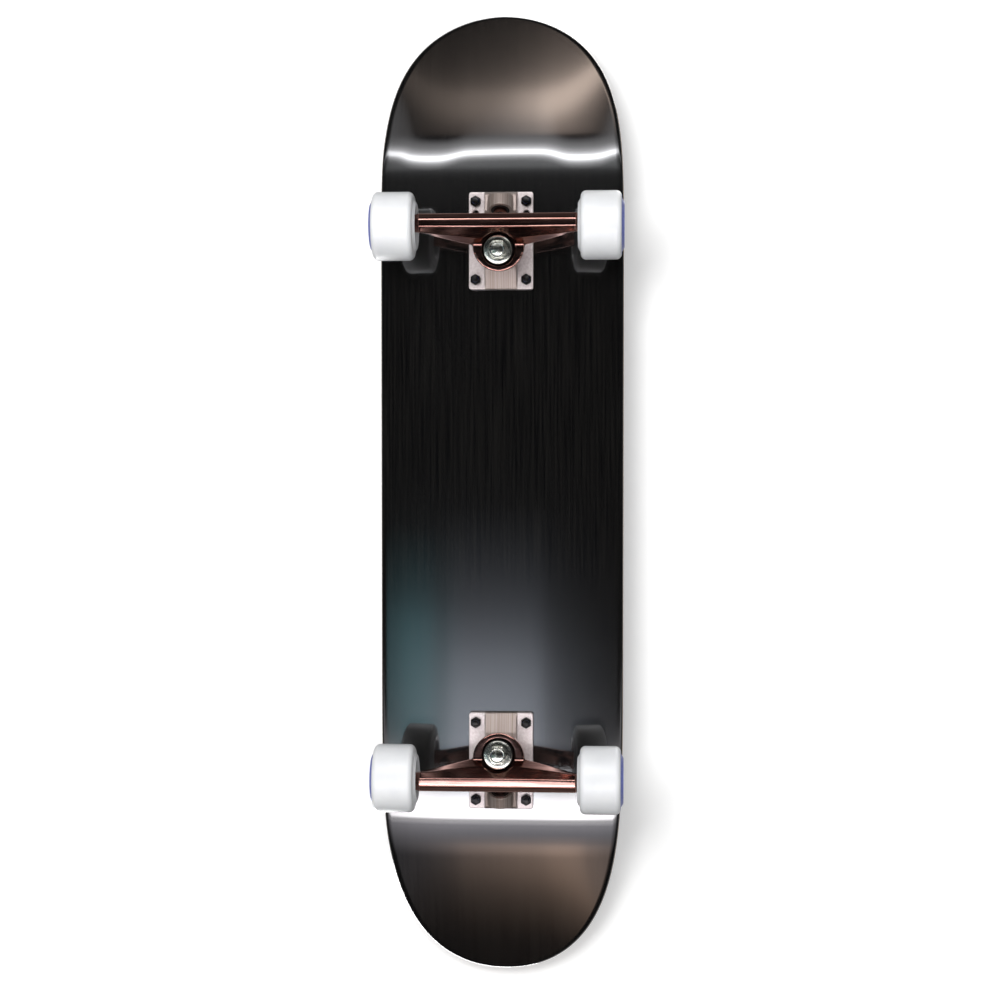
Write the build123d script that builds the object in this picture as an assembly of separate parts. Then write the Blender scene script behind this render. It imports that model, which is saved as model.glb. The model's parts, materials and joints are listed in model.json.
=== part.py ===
from build123d import *
from math import cos, hypot, radians, sin, tan
import os

# Skateboard. Millimetres, +X towards the nose, +Y to the board's left, +Z up.
# The origin is on the ground, under the middle of the board's length.

# --- Deck: seven maple plies, the five inner ones glued into one core ---
deck_length = 805.0
deck_width = 200.0
ply = 1.55
ply_count = 7
grip_thickness = 0.8
deck_bottom_z = 80.0
lacquer_film = 0.05
concave_depth = 6.0
concave_power = 2.3
flat_half_width = 28.0
bend_start = 258.0
bend_end = 300.0
nose_rise = 46.0
tail_rise = 47.5
tip_concave = 0.35
nose_outline_start = 167.0
nose_outline_powers = (4.9, 1.885)
tail_outline_start = 96.0
tail_outline_powers = (4.82, 2.13)
outline_steps = 12
grid_step_x = 17.0
grid_step_y = 13.0
surface_tolerance = 0.02

# --- Trucks: two of the same, turned end for end ---
front_truck_x = 209.25
rear_truck_x = -216.25
plate_length = 79.0
plate_width = 52.5
plate_thickness = 6.0
plate_corner = 2.0
hole_u = 31.75
hole_y = 20.64
middle_hole_u = 22.2
hole_radius = 2.65
rib_half_width = 13.0
rib_flat = (-24.0, 5.0)
rib_web = (8.0, -9.0)
rib_end = (37.0, -11.5)

# Kingpin and steering axes meet in the middle of the hanger's ring.
ring_u = -10.0
ring_depth = 33.0
kingpin_lean = 6.0
pivot_u = 28.0
pivot_depth = 13.0
kingpin_radius = 4.76
kingpin_end = 23.3
kingpin_flats = 14.3
kingpin_head_start = -31.5
kingpin_head_end = -25.5
head_pocket_radius = 8.6
web_half = 3.0
bushing_radius = 12.4
bushing_tip_radius = 9.5
bushing_bore = 5.0
lower_bushing_height = 9.0
upper_bushing_height = 15.0
cup_washer = 1.5
lower_washer_radius = 11.3
upper_washer_radius = 13.4
seat_radius = 12.8
seat_boss_radius = 15.0
ring_radius = 20.8
ring_shift = 3.5
ring_half_height = 7.0
kingpin_hole = 7.2
nut_room = 14.2
nut_room_start = 9.0

# Pivot: a tapered pin with a ball end in a plastic cup.
pin_start = 14.0
pin_root_radius = 8.5
pin_radius = 5.4
pin_ball = 41.3
cup_rim = 37.3
cup_end = 48.3
cup_radius = 7.4
pivot_fit = 0.08
boss_radius = 10.2
boss_wall = 1.5
boss_end_u = 37.2

# Hanger and axle
axle_u = 6.7
axle_depth = 53.0
axle_radius = 4.0
axle_half = 99.3
hanger_half = 69.0
beam_half = 62.0
beam_root_half = 18.0

# --- Wheels and bearings ---
wheel_radius = 27.0
wheel_half = 18.3
wheel_centre_y = 82.0
tread_half = 11.5
shoulder_radius = 22.6
shoulder_w = 16.2
shoulder_steps = 6
cone_radius = 20.8
cone_w = 16.5
lip_radius = 17.8
recess_radius = 14.5
bearing_radius = 11.0
bearing_inner = 5.0
bearing_outer = 12.0
core_radius = 8.6
seat_chamfer = 0.5
race_land_in = 6.1
race_land_out = 9.4
pitch_radius = 7.75
ball_radius = 1.984
ball_count = 7
ball_play = 0.12
cage_half = 2.6
cage_play = 0.5
groove_radius = 2.02
shield_thickness = 0.3
shield_inset = 0.2
shield_play = 0.25
washer_thickness = 0.8
washer_radius = 5.8
spacer_radius = 5.2

# --- Hexagon lock nuts: (across flats, hexagon height, collar height) ---
kingpin_nut_size = (14.3, 6.8, 2.2)
axle_nut_size = (12.7, 3.6, 1.2)
deck_nut_size = (8.0, 3.8, 1.3)
nut_corner_share = 0.555
nut_collar_share = 0.46
thread_play = 0.1
insert_wall = 0.7
nut_lip = 0.3

# --- Bolts through the deck ---
bolt_radius = 2.4
bolt_length = 25.4
bolt_head_radius = 4.7
bolt_head_depth = 2.35
bolt_head_edge = 0.3
bolt_play = 0.1
cross_recess = (5.0, 1.1, 1.8)
veneer_hole_radius = 4.3


def kick_height(distance, rise):
    """Rise of the deck at a distance past the start of the bend."""
    bend = bend_end - bend_start
    slope = rise / (deck_length / 2 - (bend_start + bend_end) / 2)
    if distance <= 0:
        return 0.0
    if distance >= bend:
        return slope * (distance - bend / 2)
    t = distance / bend
    return slope * bend * (t**3 - t**4 / 2)


def deck_height(x, y):
    """Height of the deck's lower face above its flat middle."""
    rise = nose_rise if x > 0 else tail_rise
    past = abs(x) - bend_start
    fade = min(max(past / (deck_length / 2 - bend_start), 0.0), 1.0)
    amount = 1 - (1 - tip_concave) * fade * fade * (3 - 2 * fade)
    across = max(abs(y) - flat_half_width, 0.0) / (deck_width / 2 - flat_half_width)
    return kick_height(past, rise) + amount * concave_depth * across**concave_power


def spaced(limit, step):
    """Even steps from -limit to +limit."""
    count = round(2 * limit / step)
    return [-limit + 2 * limit * i / count for i in range(count + 1)]


def deck_surface(z):
    """The deck's curved lower face, a little larger than the deck."""
    xs = spaced(deck_length / 2 + grid_step_x / 2, grid_step_x)
    ys = spaced(deck_width / 2 + grid_step_y / 2, grid_step_y)
    rows = [[(x, y, z + deck_height(x, y)) for y in ys] for x in xs]
    return Face.make_surface_from_array_of_points(rows, tol=surface_tolerance, min_deg=3)


def end_curve(start, powers, sign):
    """One rounded end of the deck, from the left side round to the right."""
    length_power, width_power = powers
    reach = deck_length / 2 - start
    half = []
    for i in range(outline_steps + 1):
        angle = radians(90 * i / outline_steps)
        y = deck_width / 2 * sin(angle) ** (2 / width_power)
        x = start + reach * cos(angle) ** (2 / length_power)
        half.append((x if i < outline_steps else start, y))
    right = [(sign * x, -y) for x, y in half[1:]]
    left = [(sign * x, y) for x, y in reversed(half)]
    return Spline(left + right, tangents=[(sign, 0), (-sign, 0)])


def deck_outline():
    """The deck's outline seen from above."""
    nose = end_curve(nose_outline_start, nose_outline_powers, 1)
    tail = end_curve(tail_outline_start, tail_outline_powers, -1)
    sides = [Line(nose @ 0, tail @ 0), Line(nose @ 1, tail @ 1)]
    return make_face([nose, tail] + sides)


def rod(plane, start, end, radius):
    """A round bar along a plane's normal, from start to end."""
    solid = Cylinder(radius, end - start, align=(Align.CENTER, Align.CENTER, Align.MIN))
    return plane * Pos(0, 0, start) * solid


def hexagon(plane, start, end, flats):
    """A hexagonal bar along a plane's normal, from start to end."""
    sketch = RegularPolygon(flats / 2, 6, major_radius=False)
    return plane * Pos(0, 0, start) * extrude(sketch, end - start)


def ring(plane, start, end, outer, inner):
    """A round tube along a plane's normal."""
    return rod(plane, start, end, outer) - rod(plane, start - 1, end + 1, inner)


def turned(plane, points):
    """A solid of revolution about a plane's normal, from (radius, height) points."""
    profile = make_face(Polyline([(r, 0, w) for r, w in points], close=True))
    return plane * revolve(profile, Axis.Z)


def lock_nut(plane, seat, size, bore):
    """A hexagon nut with a round collar that holds a nylon insert."""
    flats, hex_height, collar = size
    top = seat + hex_height
    thread = bore + thread_play
    body = hexagon(plane, seat, top, flats) & rod(plane, seat, top, flats * nut_corner_share)
    body += rod(plane, top, top + collar, flats * nut_collar_share)
    body -= rod(plane, seat - 1, top + collar + 1, thread)
    return body - rod(plane, top, top + collar - nut_lip, thread + insert_wall)


def nut_insert(plane, seat, size, bore):
    """The nylon ring inside a lock nut's collar."""
    _, hex_height, collar = size
    top = seat + hex_height
    return ring(plane, top, top + collar - nut_lip, bore + thread_play + insert_wall, bore)


# --- Frames of one truck: x outwards along the board, z up, origin at the deck ---
deck_plane = Plane.XY
kingpin_plane = Plane(
    origin=(ring_u, 0, -ring_depth),
    x_dir=(0, 1, 0),
    z_dir=(-sin(radians(kingpin_lean)), 0, -cos(radians(kingpin_lean))),
)
steering_run = hypot(pivot_u - ring_u, ring_depth - pivot_depth)
steering_dir = ((pivot_u - ring_u) / steering_run, 0, (ring_depth - pivot_depth) / steering_run)
steering_plane = Plane(origin=(ring_u, 0, -ring_depth), x_dir=(0, 1, 0), z_dir=steering_dir)
lower_bushing_end = web_half + lower_bushing_height
nut_seat = lower_bushing_end + cup_washer
upper_bushing_end = -web_half - upper_bushing_height
plate_seat = upper_bushing_end - cup_washer
ply_stack = ply * ply_count
bolt_top = lacquer_film + ply_stack + grip_thickness
axle_plane = Plane(origin=(axle_u, 0, -axle_depth), x_dir=(1, 0, 0), z_dir=(0, 1, 0))
far = 60.0


def steering_point(along, across):
    """A point of the truck's middle plane, measured along and off the steering axis."""
    u = ring_u + along * steering_dir[0] + across * steering_dir[2]
    return u, -ring_depth + along * steering_dir[2] - across * steering_dir[0]


def hole_places(u_values):
    """Hole positions on both sides of the truck's middle line."""
    return [(u, side * hole_y) for u in u_values for side in (-1, 1)]


def baseplate():
    """Cast baseplate: flange, sloped rib, kingpin seat and pivot boss."""
    flange = extrude(RectangleRounded(plate_length, plate_width, plate_corner), -plate_thickness)
    half = plate_length / 2
    seat_slope = tan(radians(kingpin_lean))
    seat_u = ring_u - plate_seat * sin(radians(kingpin_lean))
    seat_depth = ring_depth + plate_seat * cos(radians(kingpin_lean))
    rib = [(-half, 0), (-half, -plate_thickness)]
    rib += [(u, -seat_depth - (u - seat_u) * seat_slope) for u in rib_flat]
    rib += [rib_web, steering_point(cup_rim, -cup_radius), steering_point(cup_rim, 0)]
    rib += [rib_end, (half, -plate_thickness), (half, 0)]
    profile = make_face(Polyline([(u, 0, z) for u, z in rib], close=True))
    body = flange + extrude(profile, rib_half_width, dir=(0, 1, 0), both=True)
    below_deck = Pos(0, 0, -far / 2) * Box(far * 2, far, far)
    body += rod(kingpin_plane, plate_seat - far, plate_seat, seat_boss_radius) & below_deck
    boss_room = Pos(boss_end_u - far / 2, 0, -far / 2) * Box(far, far, far)
    body += rod(steering_plane, cup_rim, cup_end + boss_wall, boss_radius) & boss_room
    body -= rod(kingpin_plane, -far, kingpin_head_end, head_pocket_radius)
    body -= rod(kingpin_plane, -far, plate_seat + 1, kingpin_radius)
    body -= rod(steering_plane, cup_rim, cup_end, cup_radius)
    for u, y in hole_places([-hole_u, middle_hole_u, hole_u]):
        body -= Pos(u, y, 0) * rod(deck_plane, -far, 1, hole_radius)
    return body


def pivot_cup():
    """Plastic cup in the baseplate that holds the hanger's pivot."""
    bore = pin_radius + pivot_fit
    cup = rod(steering_plane, cup_rim, cup_end, cup_radius)
    cup -= rod(steering_plane, cup_rim - 1, pin_ball, bore)
    return cup - steering_plane * Pos(0, 0, pin_ball) * Sphere(bore)


def kingpin():
    """Kingpin bolt with its hexagon head in the baseplate's pocket."""
    pin = rod(kingpin_plane, kingpin_head_end, kingpin_end, kingpin_radius)
    return pin + hexagon(kingpin_plane, kingpin_head_start, kingpin_head_end, kingpin_flats)


def bushing(start, end, end_radius):
    """A urethane bushing, as wide as its seat where it starts."""
    return turned(kingpin_plane, [
        (bushing_bore, start),
        (bushing_radius, start),
        (end_radius, end),
        (bushing_bore, end),
    ])


def cup_washer_at(start, end, radius):
    """A flat washer between a bushing and its nut or seat."""
    return ring(kingpin_plane, start, end, radius, kingpin_radius)


def beam_section(y, points):
    """One cross-section of the hanger, at a place along the axle."""
    outline = [(axle_u + du, y, -axle_depth + dz) for du, dz in points]
    return make_face(Polyline(outline, close=True))


def hanger_beam():
    """The hanger's beam, deep in the middle and slim at the wheels."""
    slim = [(-1, -8), (5, -8), (9.8, -3.5), (9.8, 3), (5, 7.5), (-1, 7.5), (-5.2, 3), (-5.2, -3.5)]
    deep = [(-1.5, -8), (5, -8), (9.8, -3.5), (9.8, 3), (4, 9), (-10, 21), (-14.5, 17), (-9, 4)]
    tip = [(du * 0.8, dz * 0.8) for du, dz in slim]
    stations = [(-hanger_half, tip), (-beam_half, slim), (-beam_root_half, deep)]
    stations += [(-y, points) for y, points in reversed(stations)]
    return loft([beam_section(y, points) for y, points in stations], ruled=True)


def hanger():
    """Cast hanger: beam, ring for the bushings and pivot pin."""
    body = hanger_beam()
    offset_plane = Plane(
        origin=(ring_u + ring_shift, 0, -ring_depth),
        x_dir=(0, 1, 0),
        z_dir=kingpin_plane.z_dir,
    )
    body += rod(offset_plane, -ring_half_height, ring_half_height, ring_radius)
    body += turned(steering_plane, [
        (0, pin_start),
        (pin_root_radius, pin_start),
        (pin_radius, cup_rim - 1),
        (pin_radius, pin_ball),
        (0, pin_ball),
    ])
    body += steering_plane * Pos(0, 0, pin_ball) * Sphere(pin_radius)
    body -= rod(kingpin_plane, -far, -web_half, seat_radius)
    body -= rod(kingpin_plane, web_half, far, seat_radius)
    body -= rod(kingpin_plane, nut_room_start, far, nut_room)
    body -= rod(kingpin_plane, -far, far, kingpin_hole)
    return body - rod(axle_plane, -far * 2, far * 2, axle_radius)


def wheel_plane(side):
    """Frame of one wheel, with its normal pointing away from the board."""
    centre = (axle_u, side * wheel_centre_y, -axle_depth)
    return Plane(origin=centre, x_dir=(1, 0, 0), z_dir=(0, side, 0))


def shoulder():
    """Rounded corner between the tread and the side of a wheel."""
    points = []
    for i in range(shoulder_steps + 1):
        angle = radians(90 * i / shoulder_steps)
        r = shoulder_radius + (wheel_radius - shoulder_radius) * cos(angle)
        points.append((r, tread_half + (shoulder_w - tread_half) * sin(angle)))
    return points


def tyre(side):
    """Urethane wheel with a seat for a bearing on each side."""
    half = shoulder() + [
        (cone_radius, cone_w),
        (lip_radius, wheel_half),
        (recess_radius, wheel_half),
        (bearing_radius + seat_chamfer, bearing_outer + seat_chamfer),
        (bearing_radius, bearing_outer),
        (bearing_radius, bearing_inner),
        (core_radius, bearing_inner),
    ]
    return turned(wheel_plane(side), half + [(r, -w) for r, w in reversed(half)])


def bearing_places():
    """Centre of each bearing along the axle, from the middle of the wheel."""
    middle = (bearing_inner + bearing_outer) / 2
    return (-middle, middle)


def raced_ring(plane, outer, inner):
    """A bearing race with the ball groove cut in it."""
    half = (bearing_outer - bearing_inner) / 2
    groove = plane * Torus(pitch_radius, groove_radius)
    return ring(plane, -half, half, outer, inner) - groove


def bearing_planes(side):
    """Frames at the middle of a wheel's two bearings."""
    return [wheel_plane(side).offset(w) for w in bearing_places()]


def inner_races():
    return [raced_ring(p, race_land_in, axle_radius) for s in (-1, 1) for p in bearing_planes(s)]


def outer_races(side):
    return [raced_ring(p, bearing_radius, race_land_out) for p in bearing_planes(side)]


def shields(side):
    """Thin covers over both faces of each bearing."""
    face = (bearing_outer - bearing_inner) / 2 - shield_inset
    inner = race_land_in + shield_play
    covers = []
    for plane in bearing_planes(side):
        for start in (-face, face - shield_thickness):
            covers.append(ring(plane, start, start + shield_thickness, race_land_out, inner))
    return covers


def ball_angles():
    """Directions of a bearing's balls, in degrees."""
    return [360 * (i + 0.5) / ball_count for i in range(ball_count)]


def pocket(angle):
    """A round hole through the cage, pointing away from the axle."""
    drill = rod(Plane.YZ, 0, far, ball_radius + ball_play)
    return Rot(0, 0, angle) * drill


def balls_in(plane):
    """A ring of balls about a bearing's middle."""
    ball = Pos(pitch_radius, 0, 0) * Sphere(ball_radius)
    return [plane * Rot(0, 0, angle) * ball for angle in ball_angles()]


def balls(side):
    return [ball for plane in bearing_planes(side) for ball in balls_in(plane)]


def cages(side):
    """Ball cages, with a round pocket drilled for each ball."""
    made = []
    for plane in bearing_planes(side):
        cage = ring(plane, -cage_half, cage_half, race_land_out - cage_play, race_land_in + cage_play)
        for angle in ball_angles():
            cage -= plane * pocket(angle)
        made.append(cage)
    return made


def bearing_spacers():
    planes = [wheel_plane(side) for side in (-1, 1)]
    return [ring(p, -bearing_inner, bearing_inner, spacer_radius, axle_radius) for p in planes]


def speed_washers():
    """Thin washers on both sides of each wheel's bearings."""
    made = []
    for side in (-1, 1):
        for start in (-bearing_outer - washer_thickness, bearing_outer):
            end = start + washer_thickness
            made.append(ring(wheel_plane(side), start, end, washer_radius, axle_radius))
    return made


def axle_nuts(make):
    seat = bearing_outer + washer_thickness
    return [make(wheel_plane(side), seat, axle_nut_size, axle_radius) for side in (-1, 1)]


def deck_bolt(u, y):
    """Flat-headed bolt through the deck, with a cross recess."""
    place = Plane(origin=(u, y, bolt_top), x_dir=(1, 0, 0), z_dir=(0, 0, -1))
    bolt = turned(place, [
        (0, 0),
        (bolt_head_radius, 0),
        (bolt_head_radius, bolt_head_edge),
        (bolt_radius, bolt_head_depth),
        (bolt_radius, bolt_length),
        (0, bolt_length),
    ])
    length, width, depth = cross_recess
    for x, y in ((length, width), (width, length)):
        bolt -= place * Box(x, y, 2 * depth)
    return bolt


def deck_nuts(make):
    places = hole_places([-hole_u, hole_u])
    seats = [Plane(origin=(u, y, 0), x_dir=(1, 0, 0), z_dir=(0, 0, -1)) for u, y in places]
    return [make(seat, plate_thickness, deck_nut_size, bolt_radius) for seat in seats]


def one_or_many(shape):
    """The separate solids of a shape or of a list of shapes."""
    shapes = shape if isinstance(shape, list) else [shape]
    return [solid for item in shapes for solid in item.solids()]


def placed(location, shape):
    return [location * solid for solid in one_or_many(shape)]


def truck_parts():
    """Every piece of one truck that doesn't turn with a wheel."""
    return {
        "baseplate": baseplate(),
        "pivot_cup": pivot_cup(),
        "kingpin": kingpin(),
        "kingpin_nut": lock_nut(kingpin_plane, nut_seat, kingpin_nut_size, kingpin_radius),
        "kingpin_nut_insert": nut_insert(kingpin_plane, nut_seat, kingpin_nut_size, kingpin_radius),
        "lower_cup_washer": cup_washer_at(lower_bushing_end, nut_seat, lower_washer_radius),
        "upper_cup_washer": cup_washer_at(plate_seat, upper_bushing_end, upper_washer_radius),
        "lower_bushing": bushing(web_half, lower_bushing_end, bushing_tip_radius),
        "upper_bushing": bushing(upper_bushing_end, -web_half, bushing_radius),
        "hanger": hanger(),
        "axle": rod(axle_plane, -axle_half, axle_half, axle_radius),
        "inner_races": inner_races(),
        "bearing_spacers": bearing_spacers(),
        "speed_washers": speed_washers(),
        "axle_nuts": axle_nuts(lock_nut),
        "axle_nut_inserts": axle_nuts(nut_insert),
    }


def wheel_parts(side):
    """Every piece that turns with one wheel or rolls inside it."""
    return {
        "wheel": tyre(side),
        "outer_races": outer_races(side),
        "bearing_shields": shields(side),
        "bearing_balls": balls(side),
        "bearing_cages": cages(side),
    }


def deck_parts(truck_places):
    """The laminated deck and grip tape, drilled for the mounting bolts."""
    outline = Pos(0, 0, -far) * extrude(deck_outline(), far * 5)
    surface = deck_surface(deck_bottom_z + lacquer_film)
    shank_room = bolt_radius + bolt_play
    layers = [
        ("deck_bottom_veneer", ply, shank_room),
        ("deck_core_plies", ply * (ply_count - 2), shank_room),
        ("deck_top_veneer", ply, veneer_hole_radius),
        ("grip_tape", grip_thickness, bolt_head_radius + bolt_play),
    ]
    made = {}
    low = 0.0
    for name, thickness, hole in layers:
        drilled = outline
        for place in truck_places:
            for u, y in hole_places([-hole_u, hole_u]):
                drilled -= place * Pos(u, y, 0) * Cylinder(hole, far * 3)
        sheet = (surface & drilled).faces()[0]
        made[name] = extrude(Pos(0, 0, low) * sheet, thickness, dir=(0, 0, 1))
        low += thickness
    return made


def skateboard():
    """Every node of the skateboard, by name."""
    places = {
        "front": Pos(front_truck_x, 0, deck_bottom_z),
        "rear": Pos(rear_truck_x, 0, deck_bottom_z) * Rot(0, 0, 180),
    }
    nodes = {name: one_or_many(s) for name, s in deck_parts(places.values()).items()}
    truck = truck_parts()
    wheels = {side: wheel_parts(side) for side in (-1, 1)}
    bolts = [deck_bolt(u, y) for u, y in hole_places([-hole_u, hole_u])]
    hardware = {
        "mounting_bolts": bolts,
        "mounting_nuts": deck_nuts(lock_nut),
        "mounting_nut_inserts": deck_nuts(nut_insert),
    }
    for end, place in places.items():
        for name, shape in truck.items():
            nodes[f"{end}_{name}"] = placed(place, shape)
        for side, parts in wheels.items():
            hand = "left" if (side > 0) == (end == "front") else "right"
            for name, shape in parts.items():
                nodes[f"{end}_{hand}_{name}"] = placed(place, shape)
        for name, shape in hardware.items():
            nodes.setdefault(name, []).extend(placed(place, shape))
    return nodes


os.makedirs("parts", exist_ok=True)
for name, solids in skateboard().items():
    export_step(solids[0] if len(solids) == 1 else Compound(children=solids), f"parts/{name}.step")
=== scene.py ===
import json
import math

import bmesh
import bpy
from mathutils import Matrix, Vector


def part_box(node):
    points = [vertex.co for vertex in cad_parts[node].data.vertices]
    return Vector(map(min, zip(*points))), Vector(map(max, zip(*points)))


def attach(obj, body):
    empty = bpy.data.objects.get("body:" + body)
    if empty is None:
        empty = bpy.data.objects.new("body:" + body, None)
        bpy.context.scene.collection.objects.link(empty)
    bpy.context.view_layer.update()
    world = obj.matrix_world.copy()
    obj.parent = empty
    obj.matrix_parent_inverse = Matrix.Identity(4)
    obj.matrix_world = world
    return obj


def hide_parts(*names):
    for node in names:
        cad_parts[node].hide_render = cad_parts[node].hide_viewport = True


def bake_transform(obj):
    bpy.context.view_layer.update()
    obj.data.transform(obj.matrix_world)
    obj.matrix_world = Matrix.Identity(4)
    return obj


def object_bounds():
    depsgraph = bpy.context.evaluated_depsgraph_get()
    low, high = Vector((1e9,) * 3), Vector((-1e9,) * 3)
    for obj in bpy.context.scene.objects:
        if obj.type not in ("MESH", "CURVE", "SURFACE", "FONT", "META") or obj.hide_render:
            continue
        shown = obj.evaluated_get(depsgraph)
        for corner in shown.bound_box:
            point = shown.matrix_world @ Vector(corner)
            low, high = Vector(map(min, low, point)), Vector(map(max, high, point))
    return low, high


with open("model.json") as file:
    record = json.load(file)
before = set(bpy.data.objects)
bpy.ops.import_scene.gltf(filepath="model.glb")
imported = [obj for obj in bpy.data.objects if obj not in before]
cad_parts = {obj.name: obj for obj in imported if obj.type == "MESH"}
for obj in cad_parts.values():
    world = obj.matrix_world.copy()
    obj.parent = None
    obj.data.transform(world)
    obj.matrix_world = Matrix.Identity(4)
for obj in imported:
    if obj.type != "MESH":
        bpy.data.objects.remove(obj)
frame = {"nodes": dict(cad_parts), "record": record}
cad_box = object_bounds()

MM = 0.001

# --- The deck's form, in metres, as the CAD model has it ---
DECK_LOW, DECK_HIGH = (Vector(corner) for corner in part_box("deck_bottom_veneer"))
HALF_LENGTH = (DECK_HIGH.x - DECK_LOW.x) / 2
HALF_WIDTH = 100 * MM
DECK_Z = DECK_LOW.z  # the flat middle's lower face
PLY = 1.55 * MM
PLY_COUNT = 7
STACK = PLY * PLY_COUNT
GRIP = 0.72 * MM  # thickness of the grip sheet
CONCAVE_DEPTH = 6 * MM
CONCAVE_POWER = 2.3
FLAT_HALF = 28 * MM
BEND_START = 258 * MM
BEND_END = 300 * MM
NOSE_RISE = 46 * MM
TAIL_RISE = 47.5 * MM
TIP_CONCAVE = 0.35
# Each end's outline: where it starts to narrow, then its powers lengthwise and across.
NOSE_OUTLINE = (167 * MM, 4.9, 1.885)
TAIL_OUTLINE = (96 * MM, 4.82, 2.13)
LOWER_ROUND = 2.8 * MM
UPPER_ROUND = 1.5 * MM
GRIP_INSET = UPPER_ROUND * 1.05

# --- How finely the deck's meshes are divided ---
STATION = 2 * MM
TIP_ZONE = 20 * MM
TIP_STEPS = 26
ACROSS = 64
ACROSS_VENEER = 16
ACROSS_HIDDEN = 4
EDGE_STEPS_ROUND = 5
EDGE_STEPS_FLAT = 2
ROUNDED_PLIES = (0, 1, PLY_COUNT - 1)

# --- One truck: distances outwards along the board, and down from the deck ---
TRUCKS = {"front": (209.25 * MM, 1), "rear": (-216.25 * MM, -1)}
RING_U = -10 * MM
RING_DROP = 33 * MM
KINGPIN_LEAN = math.radians(6)
AXLE_U = 6.7 * MM
AXLE_Z = 27 * MM
WHEEL_Y = 82 * MM
WHEEL_HALF = 18.3 * MM
WHEEL_SEGMENTS = 128
RIB_HALF = 13 * MM
BUSHING_BORE = 5.9 * MM
BUSHING_STEPS = 14
BUSHING_LIP = 0.5 * MM  # how far a bushing's ends are drawn in
BUSHING_LIP_SHARE = 1 / 7  # of its height, at each end

# The printed band lies on the outer cone of each wheel, between two radii.
PRINT_START = 14.9 * MM
PRINT_END = 24.2 * MM
PRINT_FROM = 0.85 * WHEEL_HALF

EVEN = (1, 1, 1)  # noise that isn't stretched
WELD_DISTANCE = 1e-6
MERGE_DISTANCE = 1e-7


# ---------------------------------------------------------------- materials
def material(name, color, roughness, metallic=0.0, **sockets):
    """A Principled material; sockets are named with underscores for spaces."""
    mat = bpy.data.materials.new(name)
    mat.use_nodes = True
    shader = mat.node_tree.nodes["Principled BSDF"]
    shader.inputs["Base Color"].default_value = (*color, 1)
    shader.inputs["Roughness"].default_value = roughness
    shader.inputs["Metallic"].default_value = metallic
    for key, value in sockets.items():
        shader.inputs[key.replace("_", " ")].default_value = value
    return mat


def node(mat, kind, **values):
    """A new node in a material, with its input sockets set."""
    made = mat.node_tree.nodes.new(kind)
    for key, value in values.items():
        made.inputs[key.replace("_", " ")].default_value = value
    return made


def link(mat, start, end):
    mat.node_tree.links.new(start, end)


def shader_of(mat):
    return mat.node_tree.nodes["Principled BSDF"]


def surface_of(mat):
    return mat.node_tree.nodes["Material Output"].inputs["Surface"]


def stretched_noise(mat, stretch, scale, detail):
    """Noise in object space, stretched along the axes."""
    place = node(mat, "ShaderNodeTexCoord")
    mapping = node(mat, "ShaderNodeMapping", Scale=stretch)
    noise = node(mat, "ShaderNodeTexNoise", Scale=scale, Detail=detail)
    link(mat, place.outputs["Object"], mapping.inputs["Vector"])
    link(mat, mapping.outputs["Vector"], noise.inputs["Vector"])
    return noise.outputs["Fac"]


def ramp(mat, source, low, high, start=0.3, end=0.7):
    """A colour ramp between two colours."""
    made = mat.node_tree.nodes.new("ShaderNodeValToRGB")
    made.color_ramp.elements[0].position = start
    made.color_ramp.elements[1].position = end
    made.color_ramp.elements[0].color = (*low, 1)
    made.color_ramp.elements[1].color = (*high, 1)
    link(mat, source, made.inputs["Fac"])
    return made.outputs["Color"]


def spread(mat, source, low, high):
    """Maps a 0 to 1 value onto a range."""
    made = mat.node_tree.nodes.new("ShaderNodeMapRange")
    made.inputs["To Min"].default_value = low
    made.inputs["To Max"].default_value = high
    link(mat, source, made.inputs["Value"])
    return made.outputs["Result"]


def bump(mat, source, strength, distance):
    """Adds fine relief, whose height follows a value, to a material."""
    made = node(mat, "ShaderNodeBump", Strength=strength, Distance=distance)
    link(mat, source, made.inputs["Height"])
    link(mat, made.outputs["Normal"], shader_of(mat).inputs["Normal"])


def lacquer_material():
    """Black stain under clear gloss lacquer, with the wood's grain lengthwise."""
    coat = {"Coat_Weight": 1.0, "Coat_Roughness": 0.05, "Coat_IOR": 2.0}
    mat = material("black_lacquer", (0.004, 0.004, 0.005), 0.14, IOR=1.5, **coat)
    grain = stretched_noise(mat, (3, 160, 3), 4.0, 8.0)
    fine = stretched_noise(mat, (14, 900, 14), 3.0, 3.0)
    shader = shader_of(mat)
    stain = ramp(mat, grain, (0.002, 0.002, 0.0025), (0.009, 0.0085, 0.008))
    link(mat, stain, shader.inputs["Base Color"])
    link(mat, spread(mat, fine, 0.08, 0.2), shader.inputs["Roughness"])
    bump(mat, fine, 0.3, 0.00004)
    return mat


def maple_material(name, light, dark):
    """Lightly sealed maple, for the plies and their sawn edges."""
    mat = material(name, light, 0.45, Coat_Weight=0.25, Coat_Roughness=0.2)
    grain = stretched_noise(mat, (12, 12, 700), 3.0, 6.0)
    link(mat, ramp(mat, grain, dark, light), shader_of(mat).inputs["Base Color"])
    bump(mat, grain, 0.3, 0.0001)
    return mat


def grip_material():
    """Black abrasive sheet; some of its grains are paler and shinier."""
    mat = material("grip", (0.015, 0.015, 0.016), 0.75)
    place = node(mat, "ShaderNodeTexCoord")
    grains = node(mat, "ShaderNodeTexVoronoi", Scale=1900.0)
    link(mat, place.outputs["Object"], grains.inputs["Vector"])
    cells = grains.outputs["Color"]
    shader = shader_of(mat)
    grit = ramp(mat, cells, (0.006, 0.006, 0.007), (0.06, 0.06, 0.062), 0.35, 0.9)
    link(mat, grit, shader.inputs["Base Color"])
    link(mat, spread(mat, cells, 0.95, 0.35), shader.inputs["Roughness"])
    bump(mat, grains.outputs["Distance"], 0.7, 0.0004)
    return mat


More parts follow.
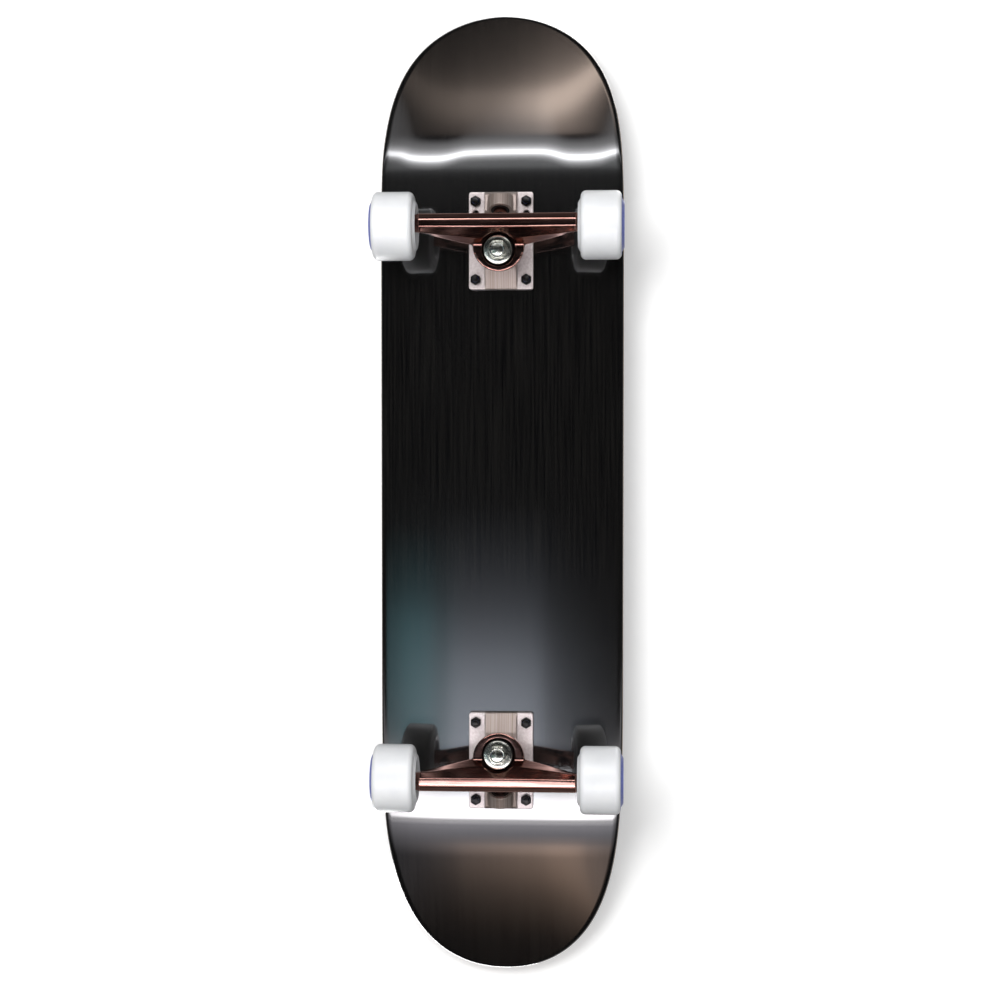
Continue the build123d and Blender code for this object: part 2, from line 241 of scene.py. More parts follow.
def urethane_material():
    """Cast white urethane, with faint mould texture."""
    mat = material("urethane_white", (0.82, 0.83, 0.85), 0.38, IOR=1.5)
    shader = shader_of(mat)
    shader.inputs["Subsurface Weight"].default_value = 0.3
    shader.inputs["Subsurface Scale"].default_value = 1.0
    shader.inputs["Subsurface Radius"].default_value = (0.005, 0.0048, 0.0045)
    cloud = stretched_noise(mat, EVEN, 60.0, 3.0)
    white = ramp(mat, cloud, (0.74, 0.75, 0.77), (0.79, 0.80, 0.81))
    link(mat, white, shader.inputs["Base Color"])
    bump(mat, stretched_noise(mat, EVEN, 1500.0, 2.0), 0.08, 0.0001)
    return mat


def print_material():
    """Blue ink band on the outside of each wheel."""
    mat = material("wheel_print", (0.05, 0.07, 0.36), 0.3, IOR=1.5)
    ink = stretched_noise(mat, EVEN, 700.0, 3.0)
    blue = ramp(mat, ink, (0.10, 0.13, 0.46), (0.19, 0.23, 0.60))
    link(mat, blue, shader_of(mat).inputs["Base Color"])
    return mat


def metal_material(name, low, high, roughness, grain=EVEN, scale=300.0, depth=0.00005):
    """A metal with uneven polish."""
    mat = material(name, high, roughness, 1.0)
    mottle = stretched_noise(mat, grain, scale, 5.0)
    shader = shader_of(mat)
    link(mat, ramp(mat, mottle, low, high), shader.inputs["Base Color"])
    link(mat, spread(mat, mottle, roughness * 0.7, roughness * 1.4), shader.inputs["Roughness"])
    bump(mat, mottle, 0.15, depth)
    return mat


def casting_material():
    """Pale blasted flanges beside a rib painted darker, as painted shade where it mirrors no light,
    with fine lengthwise lines.
    """
    pale = ((0.66, 0.57, 0.56), (0.84, 0.76, 0.75))
    mat = metal_material("cast_aluminium", *pale, 0.4, scale=500.0)
    shader = shader_of(mat)
    shader.inputs["Metallic"].default_value = 0.5
    flange = shader.inputs["Base Color"].links[0].from_socket
    lines = stretched_noise(mat, (1, 900, 1), 1.0, 3.0)
    # Painted shade: the rib is coloured darker than the flanges because it mirrors no light; only its
    # fine lengthwise lines are its own grain.
    shaded_rib = ramp(mat, lines, (0.26, 0.20, 0.17), (0.46, 0.39, 0.36))
    place = node(mat, "ShaderNodeTexCoord")
    split = node(mat, "ShaderNodeSeparateXYZ")
    link(mat, place.outputs["Object"], split.inputs["Vector"])
    side = node(mat, "ShaderNodeMath")
    side.operation = "ABSOLUTE"
    link(mat, split.outputs["Y"], side.inputs[0])
    # Where the rib's painted shade gives way to the flanges' own pale colour.
    fade = {"From_Min": RIB_HALF - 0.4 * MM, "From_Max": RIB_HALF + 0.8 * MM}
    share = node(mat, "ShaderNodeMapRange", **fade)
    link(mat, side.outputs[0], share.inputs["Value"])
    mix = node(mat, "ShaderNodeMix")
    mix.data_type = "RGBA"
    colors = [socket for socket in mix.inputs if socket.type == "RGBA"]
    link(mat, share.outputs["Result"], mix.inputs["Factor"])
    link(mat, shaded_rib, colors[0])
    link(mat, flange, colors[1])
    result = [socket for socket in mix.outputs if socket.type == "RGBA"][0]
    link(mat, result, shader.inputs["Base Color"])
    return mat


def plain_material(name, low, high, roughness):
    """A moulded plastic or rubber with a fine texture."""
    mat = material(name, high, roughness)
    texture = stretched_noise(mat, EVEN, 400.0, 4.0)
    shader = shader_of(mat)
    link(mat, ramp(mat, texture, low, high), shader.inputs["Base Color"])
    link(mat, spread(mat, texture, roughness * 0.8, roughness * 1.3), shader.inputs["Roughness"])
    bump(mat, texture, 0.15, 0.0001)
    return mat


# Each metal: darker and brighter colour, roughness, then how its grain runs.
METALS = {
    "black_oxide": ((0.015, 0.015, 0.016), (0.05, 0.048, 0.047), 0.32),
    "zinc": ((0.38, 0.39, 0.33), (0.66, 0.66, 0.60), 0.2, EVEN, 300.0, 0.0001),
    "steel": ((0.45, 0.45, 0.45), (0.62, 0.62, 0.63), 0.25, (600, 1, 600), 3.0),
    "bearing_steel": ((0.70, 0.71, 0.73), (0.8, 0.81, 0.82), 0.12),
    "copper_metal": ((0.36, 0.17, 0.14), (0.56, 0.33, 0.28), 0.13, (60, 4, 60), 10.0),
}
# Each plastic or rubber: darker and brighter colour, roughness.
PLAIN = {
    "nylon": ((0.02, 0.06, 0.3), (0.03, 0.09, 0.4), 0.4),
    "cage_nylon": ((0.05, 0.05, 0.05), (0.09, 0.09, 0.09), 0.5),
    "bushing_black": ((0.006, 0.006, 0.007), (0.014, 0.014, 0.015), 0.4),
    "cup_plastic": ((0.008, 0.008, 0.008), (0.018, 0.018, 0.018), 0.5),
}
MATERIALS = {
    "black_lacquer": lacquer_material(),
    "maple": maple_material("maple", (0.66, 0.47, 0.29), (0.50, 0.33, 0.19)),
    "maple_dark": maple_material("maple_dark", (0.47, 0.30, 0.17), (0.36, 0.22, 0.12)),
    "grip": grip_material(),
    "urethane_white": urethane_material(),
    "wheel_print": print_material(),
    "cast_aluminium": casting_material(),
}
MATERIALS.update({name: metal_material(name, *look) for name, look in METALS.items()})
MATERIALS.update({name: plain_material(name, *look) for name, look in PLAIN.items()})


# ------------------------------------------------------------ mesh helpers
def add_piece(name, mesh, slots, body, stands_for):
    """Puts a smooth mesh in the scene; it rides on a body, unless body is None."""
    piece = bpy.data.objects.new(name, mesh)
    bpy.context.scene.collection.objects.link(piece)
    for key in slots:
        mesh.materials.append(MATERIALS[key])
    mesh.shade_smooth()
    if body:
        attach(piece, body)
    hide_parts(stands_for)
    return piece


def mesh_from(name, points, faces):
    """A mesh with its doubled points merged and its faces turned outwards."""
    mesh = bpy.data.meshes.new(name)
    mesh.from_pydata([tuple(p) for p in points], [], faces)
    work = bmesh.new()
    work.from_mesh(mesh)
    bmesh.ops.remove_doubles(work, verts=work.verts, dist=MERGE_DISTANCE)
    bmesh.ops.recalc_face_normals(work, faces=work.faces)
    work.to_mesh(mesh)
    work.free()
    return mesh


def applied(piece):
    """The piece's mesh with its modifiers worked in."""
    graph = bpy.context.evaluated_depsgraph_get()
    return bpy.data.meshes.new_from_object(piece.evaluated_get(graph))


# --------------------------------------------------------------------- deck
def kick_height(past, rise):
    """Rise of the deck at a distance past the start of the bend, given the tip's rise."""
    bend = BEND_END - BEND_START
    slope = rise / (HALF_LENGTH - (BEND_START + BEND_END) / 2)
    if past <= 0:
        return 0.0
    if past >= bend:
        return slope * (past - bend / 2)
    t = past / bend
    return slope * bend * (t**3 - t**4 / 2)


def deck_height(x, y):
    """Height of the deck's lower face above its flat middle."""
    rise = NOSE_RISE if x > 0 else TAIL_RISE
    past = abs(x) - BEND_START
    fade = min(max(past / (HALF_LENGTH - BEND_START), 0.0), 1.0)
    amount = 1 - (1 - TIP_CONCAVE) * fade * fade * (3 - 2 * fade)
    across = max(abs(y) - FLAT_HALF, 0.0) / (HALF_WIDTH - FLAT_HALF)
    return kick_height(past, rise) + amount * CONCAVE_DEPTH * across**CONCAVE_POWER


def half_width(x):
    """Half of the deck's width at a place along it."""
    start, length_power, width_power = NOSE_OUTLINE if x > 0 else TAIL_OUTLINE
    t = min(max((abs(x) - start) / (HALF_LENGTH - start), 0.0), 1.0)
    return HALF_WIDTH * (1 - t**length_power) ** (1 / width_power)


def stations():
    """Places along the deck, close together at the tips."""
    inner = HALF_LENGTH - TIP_ZONE
    count = round(2 * inner / STATION)
    middle = [-inner + 2 * inner * i / count for i in range(count + 1)]
    tip = []
    for i in range(1, TIP_STEPS + 1):
        angle = math.pi / 2 * i / TIP_STEPS
        tip.append(inner + TIP_ZONE * math.sin(angle))
    return [-x for x in reversed(tip)] + middle + tip


def outline():
    """(x, y, outward x, outward y) along the left edge, from tail to nose."""
    points = [(x, half_width(x)) for x in stations()]
    found = []
    for i, (x, y) in enumerate(points):
        before = points[max(i - 1, 0)]
        after = points[min(i + 1, len(points) - 1)]
        run = Vector((after[0] - before[0], after[1] - before[1])).normalized()
        normal = Vector((-run.y, run.x))
        if i in (0, len(points) - 1):
            normal = Vector((math.copysign(1, x), 0))
        found.append((x, y, normal.x, normal.y))
    return found


OUTLINE = outline()


def edge_inset(height):
    """How far the rounded edge is drawn in at a height above the lower face."""
    if height < LOWER_ROUND:
        return LOWER_ROUND - math.sqrt(LOWER_ROUND**2 - (LOWER_ROUND - height) ** 2)
    if height > STACK - UPPER_ROUND:
        over = min(height - (STACK - UPPER_ROUND), UPPER_ROUND)
        return UPPER_ROUND - math.sqrt(UPPER_ROUND**2 - over**2)
    return 0.0


def rim_point(place, inset, height, side):
    """A point on the deck's edge, drawn in by the inset; side is 1 left, -1 right."""
    x, y, nx, ny = place
    px = x - nx * inset
    py = max(y - ny * inset, 0.0) * side
    return Vector((px, py, DECK_Z + deck_height(px, py) + height))


def sheet_points(inset, height, across):
    """Points that follow the deck's face, in rows across it."""
    found = []
    for place in OUTLINE:
        low = rim_point(place, inset, height, -1)
        high = rim_point(place, inset, height, 1)
        for j in range(across + 1):
            p = low.lerp(high, j / across)
            p.z = DECK_Z + deck_height(p.x, p.y) + height
            found.append(p)
    return found


def sheet_faces(start, across, upward):
    """Quads over a sheet's points, which begin at a start index."""
    row = across + 1
    found = []
    for i in range(len(OUTLINE) - 1):
        for j in range(across):
            a = start + i * row + j
            quad = (a, a + 1, a + row + 1, a + row)
            found.append(quad if upward else quad[::-1])
    return found


def rim_faces(start, row):
    """Quads up one side's edge, whose points begin at a start index."""
    found = []
    for i in range(len(OUTLINE) - 1):
        for j in range(row - 1):
            a = start + i * row + j
            found.append((a, a + row, a + row + 1, a + 1))
    return found


def layer_mesh(name, levels, lower_across, upper_across):
    """A closed sheet that follows the deck; levels are (height, inset) up its edge."""
    points = []
    faces = []
    sheets = ((levels[0], lower_across, False), (levels[-1], upper_across, True))
    for (height, inset), across, upward in sheets:
        faces += sheet_faces(len(points), across, upward)
        points += sheet_points(inset, height, across)
    for side in (1, -1):
        faces += rim_faces(len(points), len(levels))
        for place in OUTLINE:
            points += [rim_point(place, inset, height, side) for height, inset in levels]
    return mesh_from(name, points, faces)


def ply_levels(index):
    """Heights and insets up the edge of one ply."""
    steps = EDGE_STEPS_ROUND if index in ROUNDED_PLIES else EDGE_STEPS_FLAT
    heights = [PLY * (index + i / steps) for i in range(steps + 1)]
    return [(h, edge_inset(h)) for h in heights]


def joined(name, meshes):
    """One mesh from several, whose two materials take turns."""
    work = bmesh.new()
    for index, mesh in enumerate(meshes):
        first = len(work.faces)
        work.from_mesh(mesh)
        work.faces.ensure_lookup_table()
        for face in work.faces[first:]:
            face.material_index = index % 2
    mesh = bpy.data.meshes.new(name)
    work.to_mesh(mesh)
    work.free()
    return mesh


def make_deck():
    """Lacquered lower veneer, five inner plies, upper veneer and grip sheet."""
    last = PLY_COUNT - 1
    hidden = ACROSS_HIDDEN
    lower = layer_mesh("deck_lower_veneer", ply_levels(0), ACROSS, hidden)
    add_piece("deck_lower_veneer", lower, ["black_lacquer"], "board", "deck_bottom_veneer")
    plies = [layer_mesh("ply", ply_levels(i), hidden, hidden) for i in range(1, last)]
    core = joined("deck_plies", plies)
    add_piece("deck_plies", core, ["maple_dark", "maple"], "board", "deck_core_plies")
    upper = layer_mesh("deck_upper_veneer", ply_levels(last), hidden, ACROSS_VENEER)
    add_piece("deck_upper_veneer", upper, ["maple"], "board", "deck_top_veneer")
    levels = [
        (STACK, GRIP_INSET),
        (STACK + GRIP * 0.5, GRIP_INSET),
        (STACK + GRIP, GRIP_INSET + GRIP * 0.4),
    ]
    grip = layer_mesh("grip_sheet", levels, hidden, ACROSS)
    add_piece("grip_sheet", grip, ["grip"], "board", "grip_tape")


# ------------------------------------------------------------------- trucks
def truck_point(end, u, drop):
    """A point given outwards along the board and down from the deck."""
    x, way = TRUCKS[end]
    return Vector((x + way * u, 0, DECK_Z - drop))


def kingpin_frame(end):
    """Matrix whose Z runs down the kingpin, with its origin in the ring."""
    way = TRUCKS[end][1]
    down = Vector((-way * math.sin(KINGPIN_LEAN), 0, -math.cos(KINGPIN_LEAN)))
    across = Vector((0, 1, 0))
    turn = Matrix((across, down.cross(across), down)).transposed().to_4x4()
    return Matrix.Translation(truck_point(end, RING_U, RING_DROP)) @ turn


def spun(name, profile, matrix, segments=96):
    """A ring turned about Z from a closed (radius, height) profile."""
    points = []
    faces = []
    size = len(profile)
    for i in range(segments):
        angle = 2 * math.pi * i / segments
        for r, z in profile:
            points.append(matrix @ Vector((r * math.cos(angle), r * math.sin(angle), z)))
    for i in range(segments):
        for j in range(size):
            a = i * size + j
            b = i * size + (j + 1) % size
            c = (i + 1) % segments * size + (j + 1) % size
            d = (i + 1) % segments * size + j
            faces.append((a, d, c, b))
    return mesh_from(name, points, faces)


def arc(centre, radius, start, end, steps):
    """Points of a circular arc in the profile plane, angles in degrees."""
    across, up = centre
    found = []
    for i in range(steps + 1):
        angle = math.radians(start + (end - start) * i / steps)
        found.append((across + radius * math.cos(angle), up + radius * math.sin(angle)))
    return found


def bushing_side(start, stop, wide, narrow, bulge):
    """The outer (radius, height) line of a bushing, with soft ends."""
    found = []
    for i in range(BUSHING_STEPS + 1):
        t = i / BUSHING_STEPS
        swell = bulge * math.sin(math.pi * t)
        ends = [max(0, 1 - far / BUSHING_LIP_SHARE) ** 2 for far in (t, 1 - t)]
        soft = BUSHING_LIP * sum(ends)
        found.append((wide + (narrow - wide) * t + swell - soft, start + (stop - start) * t))
    return found


# Each bushing from its ring end to its washer end, in heights along the kingpin from
# the ring's middle, then its radius at those ends and its bulge between them.
BUSHINGS = {
    "lower_bushing": (3 * MM, 12 * MM, 12.3 * MM, 9.6 * MM, 0.4 * MM),
    "upper_bushing": (-3 * MM, -18 * MM, 12.3 * MM, 12.3 * MM, 0.7 * MM),
}


def make_bushing(end, node_name, start, stop, wide, narrow, bulge):
    """A urethane bushing that gives between the hanger's ring and its washer."""
    place = kingpin_frame(end)
    bore = [(BUSHING_BORE, height) for height in (stop, (start + stop) / 2, start)]
    profile = bushing_side(start, stop, wide, narrow, bulge) + bore
    mesh = spun(f"{node_name}_rubber", profile, place)
    piece = add_piece(f"{node_name}_rubber", mesh, ["bushing_black"], None, node_name)
    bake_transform(piece)


def make_cast(node_name, key, body, voxel, rounds):
    """A cast part: the CAD form with its edges softened all over."""
    mesh = frame["nodes"][node_name].data.copy()
    mesh.materials.clear()
    work = bmesh.new()
    work.from_mesh(mesh)
    bmesh.ops.remove_doubles(work, verts=work.verts, dist=WELD_DISTANCE)
    work.to_mesh(mesh)
    work.free()
    draft = bpy.data.objects.new("draft", mesh)
    bpy.context.scene.collection.objects.link(draft)
    remesh = draft.modifiers.new("remesh", "REMESH")
    remesh.mode = "VOXEL"
    remesh.voxel_size = voxel
    smooth = draft.modifiers.new("smooth", "SMOOTH")
    smooth.factor = 0.5
    smooth.iterations = rounds
    name = f"{node_name}_casting"
    final = applied(draft)
    final.name = name
    bpy.data.objects.remove(draft)
    add_piece(name, final, [key], body, node_name)


def wheel_profile():
    """Half of the wheel's section in (radius, width), from mid-tread to the core."""
    tread = [(27.0, w) for w in (0, 4, 8, 11.2)]
    shoulder = arc((22.5, 11.7), 4.5, 0, 88, 14)
    cone = [(21.4, 16.3), (20.7, 16.5), (19.9, 17.1), (19.0, 17.6)]
    lip = arc((17.6, 17.0), 1.25, 30, 100, 6)
    face = [(16.2, 18.15), (15.0, 18.0), (14.4, 17.6), (13.2, 15.5)]
    core = [(12.2, 13.2), (11.5, 12.6), (11.1, 12.4)]
    seat = [(11.0, 12.0), (11.0, 5.0), (8.6, 5.0)]
    return [(r * MM, w * MM) for r, w in tread + shoulder + cone + lip + face + core + seat]


def make_wheel(end, hand, side):
    """A urethane wheel, whose Z points out along its axle, with its printed band."""
    x = truck_point(end, AXLE_U, 0).x
    out = Vector((0, side, 0))
    forward = Vector((1, 0, 0))
    turn = Matrix((forward, out.cross(forward), out)).transposed().to_4x4()
    place = Matrix.Translation((x, side * WHEEL_Y, AXLE_Z)) @ turn
    half = wheel_profile()
    profile = half + [(r, -w) for r, w in reversed(half)][:-1]
    name = f"{end}_{hand}_tyre"
    mesh = spun(name, profile, place, WHEEL_SEGMENTS)
    back = place.inverted()
    for face in mesh.polygons:
        centre = back @ face.center
        radius = math.hypot(centre.x, centre.y)
        if centre.z > PRINT_FROM and PRINT_START < radius < PRINT_END:
            face.material_index = 1
    node_name = f"{end}_{hand}_wheel"
    add_piece(name, mesh, ["urethane_white", "wheel_print"], node_name, node_name)


# How far each casting's edges soften: voxel size, then rounds of smoothing.
HANGER_SOFTNESS = (0.55 * MM, 14)
BASEPLATE_SOFTNESS = (0.45 * MM, 4)


def make_trucks():
    """Both trucks' castings, bushings and wheels."""
    for end in TRUCKS:
        hanger = f"{end}_hanger"
        make_cast(hanger, "copper_metal", hanger, *HANGER_SOFTNESS)
        make_cast(f"{end}_baseplate", "cast_aluminium", "board", *BASEPLATE_SOFTNESS)
        for name, sizes in BUSHINGS.items():
            make_bushing(end, f"{end}_{name}", *sizes)
        for hand, side in (("left", 1), ("right", -1)):
            make_wheel(end, hand, side)


# ------------------------------------------------- CAD pieces that stay
# Width of the bevel in millimetres, by the last word of the node's name.
BEVELS = {
    "nuts": 0.3,
    "nut": 0.35,
    "washer": 0.25,
    "washers": 0.1,
    "axle": 0.4,
    "kingpin": 0.5,
    "bolts": 0.12,
    "spacers": 0.2,
}
BEVEL_ANGLE = math.radians(35)


def dress_cad_nodes():
    """Gives each CAD piece its finish and small real edges."""
    for part in frame["record"]["subparts"]:
        name = part["node"]
        obj = frame["nodes"][name]
        obj.data.materials.clear()
        obj.data.materials.append(MATERIALS[part["material_slot"]])
        width = BEVELS.get(name.split("_")[-1])
        if width:
            weld = obj.modifiers.new("weld", "WELD")
            weld.merge_threshold = WELD_DISTANCE
            edge = obj.modifiers.new("edge", "BEVEL")
            edge.width = width * MM
            edge.segments = 2
            edge.limit_method = "ANGLE"
            edge.angle_limit = BEVEL_ANGLE
            edge.harden_normals = True
        for face in obj.data.polygons:
            face.use_smooth = True


# -------------------------------------------------------------------- stage
# Sizes and heights of the stage, in metres.
GROUND_HALF = 400.0
BACKING_HALF = 0.9
BACKING_GAP = 10 * MM  # from the board's highest point
CARD_HALF = 3.2
CARD_Z = -1.5
LIGHT_AIM = Vector((0, 0, 0.1))


def stage_plane(name, z, half, mat):
    """A flat square on the stage that, as made here, only the camera sees."""
    work = bmesh.new()
    bmesh.ops.create_grid(work, x_segments=1, y_segments=1, size=half)
    mesh = bpy.data.meshes.new(name)
    work.to_mesh(mesh)
    work.free()
    plane = bpy.data.objects.new(name, mesh)
    plane.location = (0, 0, z)
    bpy.context.scene.collection.objects.link(plane)
    mesh.materials.append(mat)
    plane.visible_diffuse = False
    plane.visible_glossy = False
    plane.visible_transmission = False
    plane.visible_shadow = False
    return plane


def one_sided(name, color, emission, seen_from_above):
    """Faintly glowing paper that shows from one side and vanishes from the other."""
    mat = material(name, color, 0.9)
    shader = shader_of(mat)
    shader.inputs["Specular IOR Level"].default_value = 0.0
    shader.inputs["Emission Color"].default_value = (1, 1, 1, 1)
    shader.inputs["Emission Strength"].default_value = emission
    paper = stretched_noise(mat, EVEN, 40.0, 3.0)
    paler = tuple(c * 1.02 for c in color)
    link(mat, ramp(mat, paper, color, paler), shader.inputs["Base Color"])
    clear = node(mat, "ShaderNodeBsdfTransparent")
    sides = node(mat, "ShaderNodeNewGeometry")
    mix = node(mat, "ShaderNodeMixShader")
    link(mat, sides.outputs["Backfacing"], mix.inputs["Fac"])
    front, back = (shader, clear) if seen_from_above else (clear, shader)
    link(mat, front.outputs[0], mix.inputs[1])
    link(mat, back.outputs[0], mix.inputs[2])
    link(mat, mix.outputs[0], surface_of(mat))
    return mat


def softbox(name, centre, size, radiance):
    """A rectangular light aimed at the board; radiance is its brightness, not its power."""
    data = bpy.data.lights.new(name, "AREA")
    data.shape = "RECTANGLE"
    data.size, data.size_y = size
    data.energy = radiance * math.pi * size[0] * size[1]
    lamp = bpy.data.objects.new(name, data)
    lamp.location = centre
    ahead = LIGHT_AIM - Vector(centre)
    lamp.rotation_euler = ahead.to_track_quat("-Z", "Y").to_euler()
    lamp.visible_camera = False
    bpy.context.scene.collection.objects.link(lamp)
    return lamp


def curve_of(mat, source, points):
    """A smooth curve through (place, value) points, in metres along the source."""
    first, last = points[0][0], points[-1][0]
    low = min(value for place, value in points)
    high = max(value for place, value in points)
    share = node(mat, "ShaderNodeMapRange", From_Min=first, From_Max=last)
    link(mat, source, share.inputs["Value"])
    curve = mat.node_tree.nodes.new("ShaderNodeFloatCurve")
    knots = curve.mapping.curves[0].points
    for _ in points[2:]:
        knots.new(0.5, 0.5)
    for knot, (place, value) in zip(knots, points):
        knot.location = ((place - first) / (last - first), (value - low) / (high - low))
    curve.mapping.update()
    link(mat, share.outputs["Result"], curve.inputs["Value"])
    scaled = node(mat, "ShaderNodeMapRange", To_Min=low, To_Max=high)
    scaled.clamp = False
    link(mat, curve.outputs["Value"], scaled.inputs["Value"])
    return scaled.outputs["Result"]


def combined(mat, operation, first, second):
    """The result of a Math node on two values."""
    made = node(mat, "ShaderNodeMath")
    made.operation = operation
    link(mat, first, made.inputs[0])
    link(mat, second, made.inputs[1])
    return made.outputs[0]


def glow(mat, place, color, along, across, wave):
    """Light with its own strength along and across the board; a wave shifts it along."""
    x, y = place.outputs["X"], place.outputs["Y"]
    if wave:
        x = combined(mat, "ADD", x, curve_of(mat, y, wave))
    strength = combined(mat, "MULTIPLY", curve_of(mat, x, along), curve_of(mat, y, across))
    light = node(mat, "ShaderNodeEmission", Color=(*color, 1))
    link(mat, strength, light.inputs["Strength"])
    return light.outputs[0]


# What the gloss lacquer mirrors, drawn on one card below the board. These curves
# give the strength across the board: (place, value), in metres, right side negative.
WIDE = [(-1.5, 0.1), (-0.8, 0.75), (-0.4, 0.95), (0, 1), (0.5, 0.95), (0.9, 0.5), (1.5, 0.1)]
NOSE_WARM = [
    (-1.3, 0), (-0.8, 0.06), (-0.45, 0.15), (-0.2, 0.26), (-0.1, 0.62),
    (0.05, 1), (0.3, 0.9), (0.6, 0.5), (1.2, 0),
]
TAIL_WARM = [
    (-1.0, 0), (-0.5, 0.12), (-0.25, 0.4), (-0.05, 0.9),
    (0.15, 1.1), (0.4, 0.6), (0.8, 0.25), (1.2, 0),
]
CENTRE = [
    (-1.2, 0), (-0.6, 0.2), (-0.33, 0.5), (-0.18, 0.95), (-0.12, 1),
    (-0.03, 0.7), (0.1, 0.3), (0.35, 0.12), (0.8, 0),
]
RIGHT_EDGE = [(-1.3, 0), (-0.8, 0.7), (-0.55, 1), (-0.35, 0.5), (-0.15, 0)]
# How far the nose band is shifted along the board at each place across it.
WAVE = [(-1.2, -0.1), (-0.8, 0.05), (-0.4, 0.3), (-0.08, 0), (0.24, 0.3), (0.65, 0.05), (1.1, -0.1)]

# Each glow: colour, strength along the board (nose positive), strength across, wave.
WHITE_BAND_AT_TAIL = [
    (-0.9, 0), (-0.8, 1.3), (-0.72, 3), (-0.67, 9), (-0.58, 10), (-0.54, 4), (-0.51, 0.9), (-0.46, 0),
]
GREY_BEFORE_TAIL = [
    (-0.64, 0), (-0.55, 1.6), (-0.42, 1.5), (-0.34, 1.1), (-0.27, 0.55), (-0.2, 0.22), (-0.06, 0),
]
GREEN_BEFORE_TAIL = [(-0.5, 0), (-0.4, 0.5), (-0.3, 0.45), (-0.2, 0.15), (-0.1, 0)]
FADE_ON_TAIL = [
    (-2.8, 0), (-2.62, 0.06), (-2.48, 0.22), (-2.1, 0.45),
    (-1.6, 0.7), (-1.1, 1.1), (-0.9, 1.3), (-0.76, 0),
]
BROWN_ON_TAIL = [(-2.85, 0), (-2.7, 0.25), (-2.5, 1), (-2.25, 1.3), (-1.7, 0.5), (-1.3, 0)]
WHITE_BAND_AT_NOSE = [
    (0.95, 0), (1.1, 1), (1.25, 5), (1.38, 10), (1.55, 4.5), (1.8, 1.6), (2.1, 0.7), (2.35, 0),
]
FAINT_BEFORE_NOSE = [(0.4, 0), (0.6, 0.15), (0.9, 0.7), (1.2, 0)]
BROWN_ON_NOSE = [
    (2.1, 0), (2.2, 1), (2.26, 3.4), (2.3, 4.2), (2.35, 2), (2.42, 0.7), (2.5, 0.35), (2.8, 0),
]
STUDIO_GLOWS = [
    ((1, 0.97, 1), WHITE_BAND_AT_TAIL, WIDE, None),
    ((0.8, 0.87, 1), GREY_BEFORE_TAIL, CENTRE, None),
    ((0.35, 0.9, 1), GREEN_BEFORE_TAIL, RIGHT_EDGE, None),
    ((0.95, 0.92, 1), FADE_ON_TAIL, WIDE, None),
    ((1, 0.66, 0.47), BROWN_ON_TAIL, TAIL_WARM, None),
    ((0.97, 0.97, 1), WHITE_BAND_AT_NOSE, WIDE, WAVE),
    ((0.95, 0.98, 1), FAINT_BEFORE_NOSE, WIDE, None),
    ((1, 0.8, 0.68), BROWN_ON_NOSE, NOSE_WARM, None),
]


def make_glow_card():
    """One large card behind the camera, seen in mirrors but not by matt surfaces."""
    mat = bpy.data.materials.new("glow_card")
    mat.use_nodes = True
    mat.node_tree.nodes.remove(shader_of(mat))
    coords = node(mat, "ShaderNodeTexCoord")
    place = node(mat, "ShaderNodeSeparateXYZ")
    link(mat, coords.outputs["Object"], place.inputs["Vector"])
    total = None
    for look in STUDIO_GLOWS:
        light = glow(mat, place, *look)
        if total is None:
            total = light
        else:
            both = node(mat, "ShaderNodeAddShader")
            link(mat, total, both.inputs[0])
            link(mat, light, both.inputs[1])
            total = both.outputs[0]
    # A ray that has already met a matt surface finds the card dark.
    direct = node(mat, "ShaderNodeMixShader")
    paths = node(mat, "ShaderNodeLightPath")
    link(mat, paths.outputs["Diffuse Depth"], direct.inputs["Fac"])
    link(mat, total, direct.inputs[1])
    link(mat, direct.outputs[0], surface_of(mat))
    plane = stage_plane("glow_card", CARD_Z, CARD_HALF, mat)
    plane.visible_camera = False
    plane.visible_glossy = True


# The room's brightness for each kind of ray: (ray, Z of its direction at the low and
# high end of a fade, strength at each). The first row is for all the other rays.
WORLD_LAYERS = (
    (None, 0.0, 0.45, 0.004, 0.45),
    ("Is Diffuse Ray", -0.5, 0.0, 0.7, 0.1),
    ("Is Camera Ray", -1.0, 1.0, 1.0, 1.0),
)


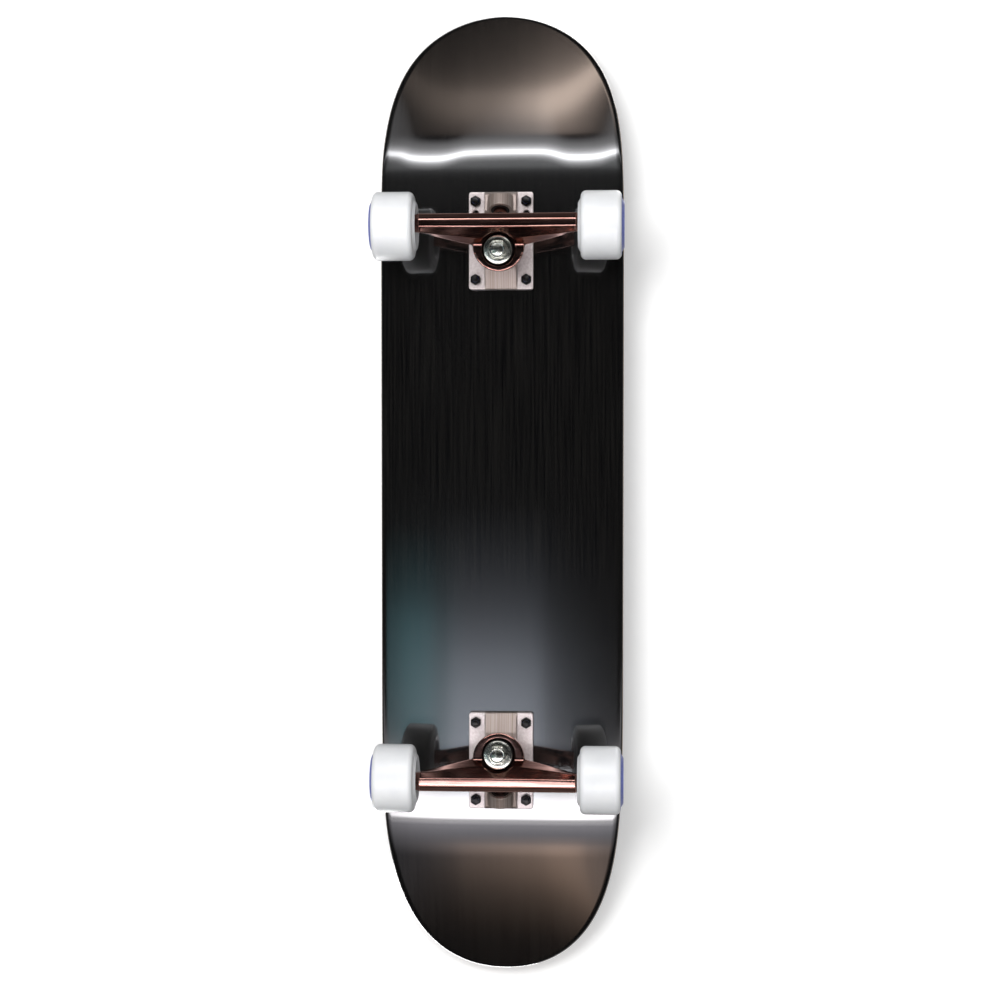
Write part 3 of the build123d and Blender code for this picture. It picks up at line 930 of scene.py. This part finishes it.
def make_world():
    """A pale room: dark low down for mirrors, bright low down for matt surfaces, and
    white for the camera."""
    world = bpy.data.worlds.new("studio")
    world.use_nodes = True
    tree = world.node_tree
    tree.nodes.remove(tree.nodes["Background"])
    place = tree.nodes.new("ShaderNodeTexCoord")
    split = tree.nodes.new("ShaderNodeSeparateXYZ")
    tree.links.new(place.outputs["Generated"], split.inputs[0])
    rays = tree.nodes.new("ShaderNodeLightPath")
    shown = None
    for ray, *span in WORLD_LAYERS:
        fade = tree.nodes.new("ShaderNodeMapRange")
        for key, value in zip(("From Min", "From Max", "To Min", "To Max"), span):
            fade.inputs[key].default_value = value
        tree.links.new(split.outputs["Z"], fade.inputs["Value"])
        pale = tree.nodes.new("ShaderNodeBackground")
        pale.inputs["Color"].default_value = (1, 1, 1, 1)
        tree.links.new(fade.outputs["Result"], pale.inputs["Strength"])
        if ray is None:
            shown = pale
            continue
        mix = tree.nodes.new("ShaderNodeMixShader")
        tree.links.new(rays.outputs[ray], mix.inputs["Fac"])
        tree.links.new(shown.outputs[0], mix.inputs[1])
        tree.links.new(pale.outputs[0], mix.inputs[2])
        shown = mix
    tree.links.new(shown.outputs[0], tree.nodes["World Output"].inputs["Surface"])
    bpy.context.scene.world = world


# The softboxes: centre, size and brightness.
UNDER_KEY = ((0.4, -0.26, -1.4), (0.65, 0.5), 16)
TOP_KEY = ((-1.0, -0.35, 1.4), (0.8, 0.8), 9)
TOP_FILL = ((1.1, 0.3, 1.2), (0.9, 0.9), 4)


def make_stage():
    """Floor seen from above, backing seen from below, three softboxes and the card."""
    ground = one_sided("ground_paper", (0.6, 0.6, 0.59), 0.5, True)
    stage_plane("ground", 0.0, GROUND_HALF, ground)
    backing = one_sided("backing_paper", (0.9, 0.9, 0.9), 0.2, False)
    stage_plane("backing", cad_box[1][2] + BACKING_GAP, BACKING_HALF, backing)
    key = softbox("under_key", *UNDER_KEY)
    key.visible_glossy = False
    softbox("top_key", *TOP_KEY)
    softbox("top_fill", *TOP_FILL)
    make_glow_card()


CAMERA_LENS = 68.05
CAMERA_PLACE = Vector((0.045, 0.0972, -1.4674))
CAMERA_TARGET = Vector((-0.0022, -0.0012, 0.080))


def make_camera():
    """The camera looks up at the board's underside, with the nose at the top."""
    data = bpy.data.cameras.new("camera")
    data.lens = CAMERA_LENS
    data.sensor_width = 36.0
    camera = bpy.data.objects.new("camera", data)
    ahead = (CAMERA_TARGET - CAMERA_PLACE).normalized()
    up = (Vector((1, 0, 0)) - ahead * ahead.x).normalized()
    right = ahead.cross(up)
    turn = Matrix((right, up, -ahead)).transposed().to_4x4()
    camera.matrix_world = Matrix.Translation(CAMERA_PLACE) @ turn
    bpy.context.scene.collection.objects.link(camera)
    bpy.context.scene.camera = camera


make_deck()
make_trucks()
dress_cad_nodes()
make_world()
make_stage()
make_camera()
bpy.context.scene.view_settings.view_transform = "Standard"
